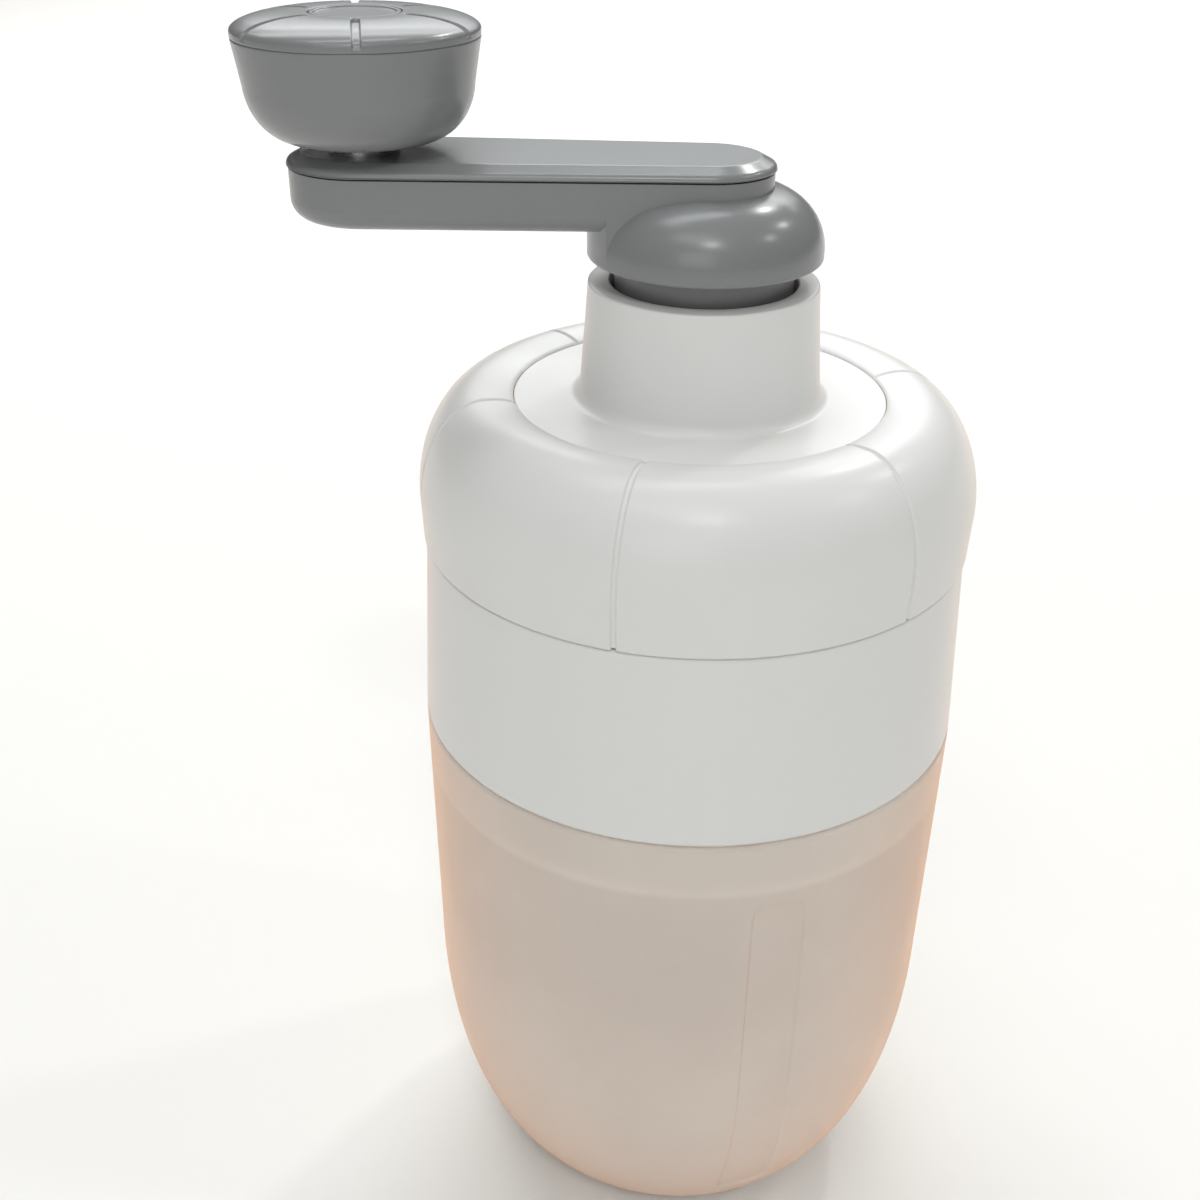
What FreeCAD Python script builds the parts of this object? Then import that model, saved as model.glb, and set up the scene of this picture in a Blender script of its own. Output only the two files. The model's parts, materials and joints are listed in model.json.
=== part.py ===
import FreeCAD, Part
import os
from math import asin, atan2, cos, hypot, pi, radians, sin, sqrt

# Hand-cranked ice shaver. It stands on a cup, which catches the shaved ice. The ice chamber's casing
# drops into the cup's mouth, the cover lifts off the casing, and the crank on the cover's tower turns
# a sprung, spiked pusher that drives the ice over a blade in the chamber's floor.
# Millimetres, +Z up. The origin is the centre of the foot on the table; the crank points along -X.
# Everything round the chamber follows the cup's mouth, and everything round the shaft its radius.

Vec = FreeCAD.Vector
UP = Vec(0, 0, 1)

# Fits
shaft_play = 0.06            # radial, a shaft turning in its bore
screw_play = 0.05            # radial, a screw's shank in the hole that holds it
hole_play = 0.2              # radial, a screw's shank in a hole that it only passes
square_play = 0.1            # each side of a square shank in its socket
loose_fit = 0.3              # between mouldings that drop into each other
lift_fit = 0.4               # radial, between parts that are lifted off one another for filling
skirt_fit = 0.5              # radial, the casing's skirt in the cup's mouth, which narrows below the rim
shaft_float = 0.2            # end play of the drive shaft between its clip and its washer
seam = 0.25                  # visible joint line between two mouldings
beyond = 20.0                # how far a cutting shape runs past what it cuts

# Cup
cup_height = 103.0
cup_mouth_radius = 48.2
cup_taper = 0.8              # of the wall's radius, from the rim down to the bend
cup_bend_height = 52.0       # where the wall starts to curve in to the foot
cup_wall = 1.8
foot_radius = 25.0
foot_height = 1.0
foot_width = 2.4
foot_notch_width = 7.4
foot_notch_depth = 1.6       # in from the foot's outside; a lip of the ring stays whole inside it
foot_notch_angles = (-65, 55, 175)
window_angle = -71.0         # the upright panel pressed into the cup's wall
window_width = 9.6
window_corner = 2.4
window_bottom = 14.0
window_margin = 13.0         # from the cup's rim down to the panel
window_depth = 0.35

# Casing
casing_height = 34.5         # from the cup's rim to the seam with the cover
casing_taper = 1.5           # of its radius, from the cup's rim up to the seam
casing_wall = 2.2
casing_edge = 1.5
skirt_depth = 10.0
skirt_wall = 2.0
collar_height = 5.0
collar_wall = 2.3
lug_thickness = 2.0
lug_width = 9.0
lug_reach = 8.0              # how far a lug stands in from the skirt
lug_angles = (60, 180, 300)
key_angles = (30, 150, 270)
key_width = 6.0
key_depth = 1.0

# Ice chamber
chamber_wall = 1.8
chamber_floor = 3.0
flange_thickness = 1.6
flange_reach = 1.6

# Blade, on a seat that slopes down from its cutting edge under the floor
blade_start = 8.0            # from the axis to the near end of the blade
blade_margin = 4.0           # from the blade's far end to the chamber's wall
blade_width = 12.0
blade_thickness = 0.8
blade_slope = 28.0
blade_rise = 0.4             # of the cutting edge above the floor
blade_bevel = 1.6
throat_width = 5.0
clamp_width = 7.0
clamp_thickness = 1.5
blade_screw_pitch = 16.0

# Cover
cover_overhang = 0.4         # of the cover's lower edge past the casing
cover_swell = 0.4            # of its widest place past its lower edge
cover_bulge_height = 8.0     # of the widest place above the seam
cover_crown_height = 25.2    # of the highest place above the seam
cover_shoulder = 11.5        # across the shoulder, from the widest place in to the crown
cover_land = 4.75            # across the crown, in to the opening for the tower's disc
cover_wall = 2.2
disc_sink = 1.2              # of the tower's disc below the crown
ledge_width = 4.2
ledge_thickness = 2.0
cover_groove_width = 1.2
cover_groove_depth = 0.4
cover_groove_phase = 14.2
groove_count = 6

# Tower
disc_thickness = 3.0
tower_height = 19.3          # above the disc
tower_top_radius = 18.8
tower_taper = 1.2            # of its radius, from the top down to the disc
tower_fillet = 2.2
tower_wall = 1.9
tower_rim = 3.5              # across the rim round the recess under the hub
recess_depth = 3.0
deck_thickness = 2.5
boss_wall = 2.6
bush_length = 13.3
bush_wall = 2.0
bush_flange_reach = 3.0      # of the flange past the bush's wall
bush_flange = 1.0
tower_screw_angles = (45, 135, 225, 315)

# Screws: shank radius, head radius, head height
small_screw = (1.1, 2.2, 1.6)
large_screw = (1.5, 2.8, 1.8)

# Drive shaft
shaft_radius = 4.0
square_share = 1.4           # of a square's side to the round shaft's radius, so that it fits within it
washer_thickness = 0.8
clip_thickness = 0.8
clip_reach = 2.4             # of the clip past the shaft
clip_groove = 0.8
journal_below_clip = 5.0
thread_depth = 9.0
socket_depth = 1.1           # of the shaft's upper end below the floor of the arm's channel
socket_end = 0.2             # left over between that end and the web that the hub's screw presses on

# Crank
crank_length = 54.0
hub_end_radius = 10.5
knob_end_radius = 12.0
arm_height = 8.0
arm_wall = 2.0
arm_edge = 3.2
arm_rib_count = 5
arm_rib_thickness = 1.2
hub_overhang = 0.2           # of the hub past the tower's rim
hub_gap = 4.1                # between the hub's rim and the tower's
hub_edge = 0.5
hub_wall_height = 1.6        # of the hub's upright wall, up to where it curves over
hub_top_height = 11.2        # of the hub's shoulder above its rim
hub_shoulder = 10.5          # across the shoulder, from the hub's widest place in to its crown
hub_wall = 2.0
hub_channel_height = 5.0     # of the channel inside the hub's rim
hub_skirt_gap = 0.7          # radial, of the hub's skirt inside the edge of the tower's recess
hub_skirt_wall = 1.6
hub_skirt_lift = 1.0         # above the thrust washer
hub_hollow_height = 5.8      # of the hollow inside the skirt, above the rim
hub_boss_inset = 1.0         # of the boss from the edge of the thrust washer that it stands on
arm_above_rim = 5.5          # of the arm's underside above the hub's rim
web_thickness = 1.8
hub_washer_thickness = 0.6
plate_thickness = 2.3
plate_overhang = 0.25
plate_shoulder = 2.45        # across the sloping shoulder, from the plate's edge in to its flat top
plate_fall = 1.25            # of the shoulder, from the flat top down
plate_edge = 1.2             # rounding between the shoulder and the plate's side
plate_lip = 1.6
plate_lip_wall = 1.3

# Knob
knob_radius = 18.9
knob_taper = 1.1             # of its radius, from the seam down to the waist
knob_curl = 7.6              # across the curve from the waist in to the underside
knob_waist_height = 9.0
knob_bowl_height = 15.2
knob_gap = 1.7               # between the crank and the knob
knob_wall = 1.9
knob_cap_height = 3.4
knob_cap_side = 0.9
knob_cap_shoulder = 10.0     # across its domed shoulder, in to its flat middle
knob_lip = 2.4
knob_groove_width = 1.4
knob_groove_depth = 0.35
knob_groove_end = 0.6        # the grooves stop this far above the seam with the bowl
knob_groove_phase = -79.5
pit_radius = 0.55
pit_margin = 1.8             # from the inlaid disc to a groove's inner end
inlay_radius = 6.9
inlay_thickness = 1.1
inlay_sink = 0.3
inlay_ring = 0.7
axle_radius = 3.6
axle_foot_radius = 3.0
axle_collar_radius = 5.6
knob_tube_wall = 2.3
knob_tube_height = 11.0
knob_float = 0.3
axle_boss_wall = 2.6

# Pusher
pusher_margin = 3.5          # between the disc and the chamber's wall
pusher_thickness = 2.6
pusher_tube_wall = 1.6
pusher_tube_height = 11.0
pusher_rib_height = 4.0
pusher_rib_thickness = 1.6
pusher_rib_count = 6
spike_radius = 0.9
spike_length = 3.4
spike_tip = 1.4
spike_counts = (4, 6, 8)     # in the rings of spikes, from the inmost
spike_ring_pitch = 7.5
spike_margin = 6.5           # from the outmost ring to the disc's edge
pusher_lift_off_floor = 5.1  # of the disc's underside above the chamber's floor
spring_room = 4.4            # from the shaft's surface to the middle of the spring's wire
spring_wire = 0.7
spring_turns = 8
seat_reach = 2.0             # of the seat past the middle of the spring's wire
seat_thickness = 1.4
seat_collar = 3.0
seat_collar_wall = 1.4

# Radii that follow from these
cup_bend_radius = cup_mouth_radius - cup_taper
casing_top_radius = cup_mouth_radius - casing_taper
cover_rim_radius = casing_top_radius + cover_overhang
cover_radius = cover_rim_radius + cover_swell
cover_crown_radius = cover_radius - cover_shoulder
opening = cover_crown_radius - cover_land
disc_radius = opening - seam
tower_base_radius = tower_top_radius + tower_taper
recess_radius = tower_top_radius - tower_rim
hub_radius = tower_top_radius + hub_overhang
hub_crown_radius = hub_radius - hub_shoulder
hub_skirt_radius = recess_radius - hub_skirt_gap
shaft_square = square_share * shaft_radius
clip_radius = shaft_radius + clip_reach
bush_flange_radius = shaft_radius + bush_wall + bush_flange_reach
hub_boss_radius = bush_flange_radius - hub_boss_inset
spring_radius = shaft_radius + spring_room
seat_radius = spring_radius + seat_reach
knob_waist_radius = knob_radius - knob_taper
knob_base_radius = knob_waist_radius - knob_curl
knob_cap_flat_radius = knob_radius - knob_cap_shoulder
pit_place = inlay_radius + pit_margin
skirt_radius = cup_mouth_radius - cup_wall - skirt_fit
collar_outer = casing_top_radius - casing_wall
collar_inner = collar_outer - collar_wall
chamber_outer = collar_inner - lift_fit
chamber_bore = chamber_outer - chamber_wall
flange_radius = chamber_outer + flange_reach
cover_inner = collar_outer + lift_fit
pusher_radius = chamber_bore - pusher_margin
blade_end = chamber_bore - blade_margin

# Levels, from the table up
casing_base = cup_height
casing_top = casing_base + casing_height
collar_top = casing_top + collar_height
floor_base = casing_base + lug_thickness
floor_top = floor_base + chamber_floor
flange_top = collar_top + flange_thickness
cover_base = casing_top + 2 * seam
crown = cover_base + cover_crown_height
disc_top = crown - disc_sink
disc_base = disc_top - disc_thickness
tower_top = disc_top + tower_height
deck = tower_top - recess_depth
hub_base = deck + washer_thickness
rim = tower_top + hub_gap
arm_base = rim + arm_above_rim
arm_top = arm_base + arm_height
plate_base = arm_top
plate_top = plate_base + plate_thickness
arm_floor = arm_base + arm_wall
knob_base = plate_top + knob_gap
knob_seam = knob_base + knob_bowl_height
cap_base = knob_seam
cap_top = cap_base + knob_cap_height
bush_base = deck - bush_length
clip_top = bush_base - shaft_float
clip_base = clip_top - clip_thickness
seat_base = clip_base - seat_thickness
pusher_base = floor_top + pusher_lift_off_floor
pusher_top = pusher_base + pusher_thickness
shaft_end = pusher_base
shaft_top = arm_floor - socket_depth
key_base = casing_top + 1.0


# Shapes

def line(start, end):
    return Part.LineSegment(Vec(*start), Vec(*end)).toShape()


def quarter(start, corner, end):
    """A quarter of an ellipse from start to end, tangent to the two lines that meet at corner."""
    curve = Part.BezierCurve()
    curve.setPoles([Vec(*start), Vec(*corner), Vec(*end)])
    curve.setWeight(2, sqrt(0.5))
    return curve.toShape()


def turned(start, *steps, angle=360):
    """A solid turned about Z. A step is the next (radius, height), or a corner and then the next
    point, with a quarter of an ellipse between them."""
    at = (start[0], 0, start[1])
    first = at
    edges = []
    for step in steps:
        if isinstance(step[0], tuple):
            corner, end = step
            end = (end[0], 0, end[1])
            edges.append(quarter(at, (corner[0], 0, corner[1]), end))
        else:
            end = (step[0], 0, step[1])
            edges.append(line(at, end))
        at = end
    edges.append(line(at, first))
    face = Part.Face(Part.Wire(edges))
    return face.revolve(Vec(0, 0, 0), UP, angle)


def tube(inner, outer, low, high, x=0.0, y=0.0):
    ring = Part.makeCylinder(outer, high - low, Vec(x, y, low))
    if inner > 0:
        ring = ring.cut(Part.makeCylinder(inner, high - low, Vec(x, y, low)))
    return ring


def rod(radius, low, high, x=0.0, y=0.0):
    return Part.makeCylinder(radius, high - low, Vec(x, y, low))


def block(low, high):
    size = [high[i] - low[i] for i in range(3)]
    return Part.makeBox(*size, Vec(*low))


def square_rod(side, low, high):
    return block((-side / 2, -side / 2, low), (side / 2, side / 2, high))


def turn(shape, angle, x=0.0, y=0.0):
    copy = shape.copy()
    copy.rotate(Vec(x, y, 0), UP, angle)
    return copy


def fused(shapes):
    shapes = list(shapes)
    return shapes[0].multiFuse(shapes[1:]).removeSplitter() if len(shapes) > 1 else shapes[0]


def ring_of(shape, angles):
    return [turn(shape, angle) for angle in angles]


def steps_round(count, phase=0.0):
    return [phase + 360.0 * i / count for i in range(count)]


def around(circles):
    """The face inside a belt round circles (x, y, radius), given anticlockwise."""
    edges = []
    count = len(circles)
    tangents = []
    for i in range(count):
        x0, y0, r0 = circles[i]
        x1, y1, r1 = circles[(i + 1) % count]
        span = hypot(x1 - x0, y1 - y0)
        normal = atan2(y1 - y0, x1 - x0) - pi / 2 + asin((r0 - r1) / span)
        out = (cos(normal), sin(normal))
        tangents.append((normal, (x0 + r0 * out[0], y0 + r0 * out[1]), (x1 + r1 * out[0], y1 + r1 * out[1])))
    for i in range(count):
        before, here = tangents[i - 1], tangents[i]
        x, y, r = circles[i]
        sweep = (here[0] - before[0]) % (2 * pi)
        middle = before[0] + sweep / 2
        start, end = before[2], here[1]
        if hypot(start[0] - end[0], start[1] - end[1]) > 1e-6:
            top = Vec(x + r * cos(middle), y + r * sin(middle), 0)
            edges.append(Part.Arc(Vec(*start, 0), top, Vec(*end, 0)).toShape())
        edges.append(line((*here[1], 0), (*here[2], 0)))
    return Part.Face(Part.Wire(edges))


def slab(face, low, high):
    flat = face.copy()
    flat.translate(Vec(0, 0, low))
    return flat.extrude(Vec(0, 0, high - low))


def round_edges(shape, radius, level):
    """Rounds the edges that lie flat at this height."""
    edges = []
    for edge in shape.Edges:
        if abs(edge.BoundBox.ZMin - level) < 1e-4 and abs(edge.BoundBox.ZMax - level) < 1e-4:
            edges.append(edge)
    return shape.makeFillet(radius, edges)


def screw(kind, seat, depth, x=0.0, y=0.0, down=True, slot=0.6):
    """A pan-head screw whose head sits at seat, its shank running depth below it, or above it."""
    shank_radius, head_radius, head_height = kind
    profile = turned((0, 0), (head_radius, 0), (head_radius, head_height * 0.5),
                     ((head_radius, head_height), (head_radius * 0.45, head_height)), (0, head_height))
    shank = turned((0, 0.2), (shank_radius, 0.2), (shank_radius, 0.6 - depth), (shank_radius * 0.4, -depth),
                   (0, -depth))
    reach = head_radius * 0.55
    arm = block((-reach, -slot / 2, head_height * 0.45), (reach, slot / 2, head_height + 1))
    shape = profile.fuse(shank).cut(arm).cut(turn(arm, 90))
    if not down:
        shape.rotate(Vec(0, 0, 0), Vec(1, 0, 0), 180)
    shape.translate(Vec(x, y, seat))
    return shape


def save(name, shape):
    shape = shape.removeSplitter() if len(shape.Solids) == 1 else shape
    if not shape.isValid():
        raise ValueError(name + " is not a valid solid")
    shape.exportStep("parts/" + name + ".step")
    print(name, len(shape.Solids), round(shape.Volume, 1))


# Cup: a turned shell on a notched foot ring, with an upright panel pressed into its wall

def cup_outside(inset, low):
    """The cup's outer form, drawn in by inset, from the height low up to the rim."""
    foot = foot_radius
    return turned((0, low), (foot, low),
                  ((cup_bend_radius - inset, low), (cup_bend_radius - inset, cup_bend_height)),
                  (cup_mouth_radius - inset, cup_height), (0, cup_height))


def cup():
    shell = cup_outside(0, foot_height).cut(cup_outside(cup_wall, foot_height + cup_wall))
    ring = tube(foot_radius - foot_width, foot_radius, 0, foot_height + cup_wall / 2)
    notch = block((foot_radius - foot_notch_depth, -foot_notch_width / 2, -1),
                  (foot_radius + 1, foot_notch_width / 2, foot_height))
    for one in ring_of(notch, foot_notch_angles):
        ring = ring.cut(one)
    shell = shell.fuse(ring).removeSplitter()
    lip = [e for e in shell.Edges if abs(e.BoundBox.ZMin - cup_height) < 1e-4]
    shell = shell.makeFillet(cup_wall / 3, lip)
    low = window_bottom + window_corner
    high = cup_height - window_margin - window_corner
    side = window_width / 2 - window_corner
    window = around([(low, -side, window_corner), (high, -side, window_corner),
                     (high, side, window_corner), (low, side, window_corner)])
    window.rotate(Vec(0, 0, 0), Vec(0, 1, 0), -90)
    window = window.extrude(Vec(cup_mouth_radius + 5, 0, 0))
    skin = cup_outside(-1, foot_height + 3).cut(cup_outside(window_depth, foot_height + 3))
    return shell.cut(turn(window.common(skin), window_angle))


# Casing: the tapered outer wall, the skirt that drops into the cup, the collar that the cover sits
# over, and three lugs that carry the chamber's floor

def casing():
    skirt_base = casing_base - skirt_depth
    skirt_inner = skirt_radius - skirt_wall
    wall_inner = cup_mouth_radius - casing_wall
    bevel = 0.5
    shell = turned((skirt_inner, skirt_base), (skirt_radius - bevel, skirt_base),
                   (skirt_radius, skirt_base + bevel), (skirt_radius, casing_base),
                   (cup_mouth_radius - casing_edge, casing_base),
                   ((cup_mouth_radius, casing_base), (cup_mouth_radius, casing_base + casing_edge)),
                   (casing_top_radius, casing_top - bevel), (casing_top_radius - bevel, casing_top),
                   (collar_outer, casing_top), (collar_outer, collar_top - bevel),
                   (collar_outer - bevel, collar_top), (collar_inner, collar_top),
                   (collar_inner, casing_top - casing_wall), (collar_outer, casing_top - casing_wall),
                   (wall_inner, floor_base), (skirt_inner, floor_base))
    lug = block((skirt_inner - lug_reach, -lug_width / 2, casing_base),
                (skirt_inner + 1, lug_width / 2, floor_base))
    screw_place = skirt_inner - lug_reach / 2
    lug = lug.cut(rod(small_screw[0] + hole_play, casing_base, floor_base, screw_place))
    shell = fused([shell] + ring_of(lug, lug_angles))
    slot = block((collar_outer - key_depth - loose_fit / 2, -key_width / 2 - loose_fit, key_base - loose_fit),
                 (collar_outer + 1, key_width / 2 + loose_fit, collar_top + 1))
    for one in ring_of(slot, key_angles):
        shell = shell.cut(one)
    return shell


def chamber_screws():
    place = skirt_radius - skirt_wall - lug_reach / 2
    one = screw(small_screw, casing_base, lug_thickness + chamber_floor * 0.75, x=place, down=False)
    return Part.makeCompound(ring_of(one, lug_angles))


# Ice chamber and blade. The blade's frame has its cutting edge along X at the origin: x runs out
# from the axis, y back down the slope and z out of the blade's upper face.

def on_blade(shape):
    shape = shape.copy()
    shape.rotate(Vec(0, 0, 0), Vec(1, 0, 0), blade_slope)
    shape.translate(Vec(0, 0, floor_top + blade_rise))
    return shape


blade_middle = (blade_start + blade_end) / 2
clamp_near = blade_width - 0.5 - clamp_width
clamp_line = clamp_near + clamp_width / 2
blade_screw_places = (blade_middle - blade_screw_pitch / 2, blade_middle + blade_screw_pitch / 2)
blade_screw_bite = 2.6


def ice_chamber():
    shell = turned((0, floor_base), (chamber_outer, floor_base), (chamber_outer, collar_top),
                   (flange_radius, collar_top), (flange_radius, flange_top), (chamber_bore, flange_top),
                   (chamber_bore, floor_top), (0, floor_top))
    run = blade_width * cos(radians(blade_slope))
    drop = blade_width * sin(radians(blade_slope)) - blade_rise
    seat = block((blade_start - 1.5, -run, floor_top - drop), (blade_end + 1.5, 0, floor_top - 0.2))
    throat = block((blade_start - 0.5, -0.2, floor_base - 1), (blade_end + 0.5, throat_width, floor_top + 1))
    shell = shell.fuse(seat).cut(throat)
    below = on_blade(block((blade_start - 0.3, -blade_width * 2, -beyond),
                           (blade_end + 0.3, throat_width, 0)))
    ends = on_blade(block((blade_start - 3, -blade_width * 2, -beyond), (blade_end + 3, throat_width, 0)))
    under = block((blade_start - 3, -blade_width * 2, 0), (blade_end + 3, throat_width, floor_base))
    shell = shell.cut(below).cut(ends.common(under))
    for x in blade_screw_places:
        hole = rod(large_screw[0] + screw_play, -1, blade_screw_bite + 0.2, x, -clamp_line)
        shell = shell.cut(on_blade(hole))
    pilot = rod(small_screw[0] + screw_play, floor_base - 1, floor_base + chamber_floor * 0.75 + 0.1,
                skirt_radius - skirt_wall - lug_reach / 2)
    for one in ring_of(pilot, lug_angles):
        shell = shell.cut(one)
    return shell


def blade():
    edge = Part.makePolygon([Vec(blade_start, 0, 0), Vec(blade_start, -blade_width, 0),
                             Vec(blade_start, -blade_width, -blade_thickness),
                             Vec(blade_start, -blade_bevel, -blade_thickness), Vec(blade_start, 0, 0)])
    shape = Part.Face(edge).extrude(Vec(blade_end - blade_start, 0, 0))
    for x in blade_screw_places:
        shape = shape.cut(rod(large_screw[0] + hole_play, -2, 1, x, -clamp_line))
    return on_blade(shape)


def blade_clamp():
    shape = block((blade_start + 1, -clamp_near - clamp_width, -blade_thickness - clamp_thickness),
                  (blade_end - 1, -clamp_near, -blade_thickness))
    for x in blade_screw_places:
        shape = shape.cut(rod(large_screw[0] + hole_play, -beyond, 1, x, -clamp_line))
    return on_blade(shape)


def blade_screws():
    seat = -blade_thickness - clamp_thickness
    screws = []
    for x in blade_screw_places:
        screws.append(on_blade(screw(large_screw, seat, blade_screw_bite - seat, x, -clamp_line, down=False)))
    return Part.makeCompound(screws)


# Cover: a domed shell with six grooves, an inner flange that rests on the chamber's flange, three
# keys against turning and a ledge that carries the tower's disc

cover_bulge = cover_base + cover_bulge_height


def cover_skin(inset):
    """The dome's outer form, drawn in by inset, down to the seam."""
    low = cover_base - 1
    return turned((0, low), (cover_rim_radius - inset, low), (cover_rim_radius - inset, cover_base),
                  (cover_radius - inset, cover_bulge),
                  ((cover_radius - inset, crown - inset), (cover_crown_radius, crown - inset)),
                  (opening, crown - inset), (opening, disc_top - 0.2), (0, disc_top - 0.2))


def cover_shell():
    edge = 0.5
    ledge_inner = opening - ledge_width
    ledge_base = disc_base - ledge_thickness
    cup_of_ledge = opening + cover_wall
    inner = cover_radius - cover_wall
    flange_high = flange_top + 1.8
    shell = turned((cover_inner, cover_base), (cover_rim_radius - edge, cover_base),
                   ((cover_rim_radius, cover_base), (cover_rim_radius, cover_base + edge)),
                   (cover_radius, cover_bulge), ((cover_radius, crown), (cover_crown_radius, crown)),
                   ((opening, crown), (opening, disc_top)), (opening, disc_base), (ledge_inner, disc_base),
                   (ledge_inner, ledge_base), (cup_of_ledge, ledge_base), (cup_of_ledge, crown - cover_wall),
                   (cover_crown_radius, crown - cover_wall),
                   ((inner, crown - cover_wall), (inner, flange_high)),
                   (chamber_bore + 1, flange_high), (chamber_bore + 1, flange_top), (cover_inner, flange_top))
    band = cover_skin(-1).cut(cover_skin(cover_groove_depth))
    groove = band.common(block((opening - 1, -cover_groove_width / 2, cover_base - 2),
                               (cover_radius + 5, cover_groove_width / 2, crown + 5)))
    for one in ring_of(groove, steps_round(groove_count, cover_groove_phase)):
        shell = shell.cut(one)
    key = block((collar_outer - key_depth, -key_width / 2, key_base),
                (cover_inner + 0.5, key_width / 2, flange_top))
    key = key.cut(rod(flange_radius + loose_fit, key_base, flange_top))
    shell = fused([shell] + ring_of(key, key_angles))
    hole = rod(small_screw[0] + hole_play, ledge_base - 1, disc_base + 1, opening - ledge_width / 2)
    for one in ring_of(hole, tower_screw_angles):
        shell = shell.cut(one)
    return shell


def neck_tower():
    edge = 0.4
    foot = tower_base_radius + tower_fillet * 0.8
    bush_hole = shaft_radius + shaft_play + bush_wall + screw_play
    boss = bush_hole + boss_wall
    flange_hole = bush_flange_radius + screw_play
    shell = turned((tower_base_radius - tower_wall, disc_base), (disc_radius, disc_base),
                   (disc_radius, disc_top - edge),
                   ((disc_radius, disc_top), (disc_radius - edge, disc_top)), (foot, disc_top),
                   ((tower_base_radius, disc_top), (tower_base_radius, disc_top + tower_fillet)),
                   (tower_top_radius, tower_top - edge),
                   ((tower_top_radius, tower_top), (tower_top_radius - edge, tower_top)),
                   (recess_radius, tower_top), (recess_radius, deck), (flange_hole, deck),
                   (flange_hole, deck - bush_flange), (bush_hole, deck - bush_flange),
                   (bush_hole, bush_base + 1), (boss, bush_base + 1), (boss, deck - deck_thickness),
                   (tower_top_radius - tower_wall, deck - deck_thickness))
    pilot = rod(small_screw[0] + screw_play, disc_base - 1, disc_base + disc_thickness * 0.7,
                opening - ledge_width / 2)
    for one in ring_of(pilot, tower_screw_angles):
        shell = shell.cut(one)
    rib = block((boss - 0.3, -0.7, deck - deck_thickness - 6),
                (tower_top_radius - tower_wall + 1, 0.7, deck - deck_thickness + 0.5))
    return fused([shell] + ring_of(rib, (0, 90, 180, 270)))


def tower_screws():
    one = screw(small_screw, disc_base - ledge_thickness, ledge_thickness + disc_thickness * 0.65,
                x=opening - ledge_width / 2, down=False)
    return Part.makeCompound(ring_of(one, tower_screw_angles))


def shaft_bush():
    bore = shaft_radius + shaft_play
    return turned((bore, bush_base), (bore + bush_wall, bush_base), (bore + bush_wall, deck - bush_flange),
                  (bush_flange_radius, deck - bush_flange), (bush_flange_radius, deck), (bore, deck))


# Drive shaft and what it carries

def drive_shaft():
    journal_base = clip_base - journal_below_clip
    shaft = rod(shaft_radius, journal_base, hub_base)
    shaft = fused([shaft, square_rod(shaft_square, shaft_end, journal_base + 1),
                   square_rod(shaft_square, hub_base - 1, shaft_top)])
    shaft = shaft.cut(tube(shaft_radius - clip_groove, shaft_radius + 1, clip_base, clip_top))
    hole = large_screw[0] + screw_play
    shaft = shaft.cut(rod(hole, shaft_top - thread_depth - 0.5, shaft_top))
    return shaft.cut(rod(hole, shaft_end, shaft_end + thread_depth + 0.5))


def thrust_washer():
    return tube(shaft_radius + hole_play, bush_flange_radius, deck, hub_base)


def shaft_clip():
    inner = shaft_radius - clip_groove + screw_play
    ring = tube(inner, clip_radius, clip_base + screw_play, clip_top - screw_play)
    return ring.cut(block((0, -inner * 0.8, clip_base), (clip_radius + 1, inner * 0.8, clip_top)))


def spring_seat():
    hole = shaft_radius + hole_play
    return turned((hole, seat_base - seat_collar), (hole + seat_collar_wall, seat_base - seat_collar),
                  (hole + seat_collar_wall, seat_base), (seat_radius, seat_base),
                  (seat_radius, clip_base), (hole, clip_base))


def pusher_spring():
    low = pusher_top + spring_wire
    high = seat_base - spring_wire
    pitch = (high - low) / spring_turns
    along = Vec(0, 2 * pi * spring_radius, pitch)
    section = Part.Wire(Part.makeCircle(spring_wire, Vec(spring_radius, 0, 0), along))
    half = Part.Wire(Part.makeHelix(pitch, pitch / 2, spring_radius)).makePipeShell([section], True, True)
    coil = []
    for i in range(2 * spring_turns):
        piece = turn(half, 180 * i)
        piece.translate(Vec(0, 0, low + pitch * i / 2))
        coil.append(piece)
    return coil[0].multiFuse(coil[1:])


def pusher_disc():
    bore = shaft_square + 2 * square_play
    tube_radius = bore / sqrt(2) + pusher_tube_wall
    edge = 0.8
    shape = turned((0, pusher_base), (pusher_radius - edge, pusher_base), (pusher_radius, pusher_base + edge),
                   (pusher_radius, pusher_top), (tube_radius, pusher_top),
                   (tube_radius, pusher_top + pusher_tube_height), (0, pusher_top + pusher_tube_height))
    start = spring_radius + spring_wire + 1
    end = pusher_radius - 2
    rib_top = pusher_top + pusher_rib_height
    corners = [Vec(start, 0, pusher_top - 0.5), Vec(end, 0, pusher_top - 0.5), Vec(end, 0, pusher_top + 0.5),
               Vec(start + 6, 0, rib_top), Vec(start, 0, rib_top), Vec(start, 0, pusher_top - 0.5)]
    rib = Part.Face(Part.makePolygon(corners))
    rib = rib.extrude(Vec(0, pusher_rib_thickness, 0))
    rib.translate(Vec(0, -pusher_rib_thickness / 2, 0))
    shape = fused([shape] + ring_of(rib, steps_round(pusher_rib_count, 30)))
    shape = shape.cut(square_rod(bore, pusher_base - 1, pusher_top + pusher_tube_height + 1))
    for x, y in spike_places():
        shape = shape.cut(rod(spike_radius + screw_play, pusher_base - 1, pusher_top - 0.6, x, y))
    return shape


def spike_places():
    places = []
    for i, count in enumerate(reversed(spike_counts)):
        radius = pusher_radius - spike_margin - i * spike_ring_pitch
        for angle in steps_round(count, 180.0 / count):
            places.append((radius * cos(radians(angle)), radius * sin(radians(angle))))
    return places


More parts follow.
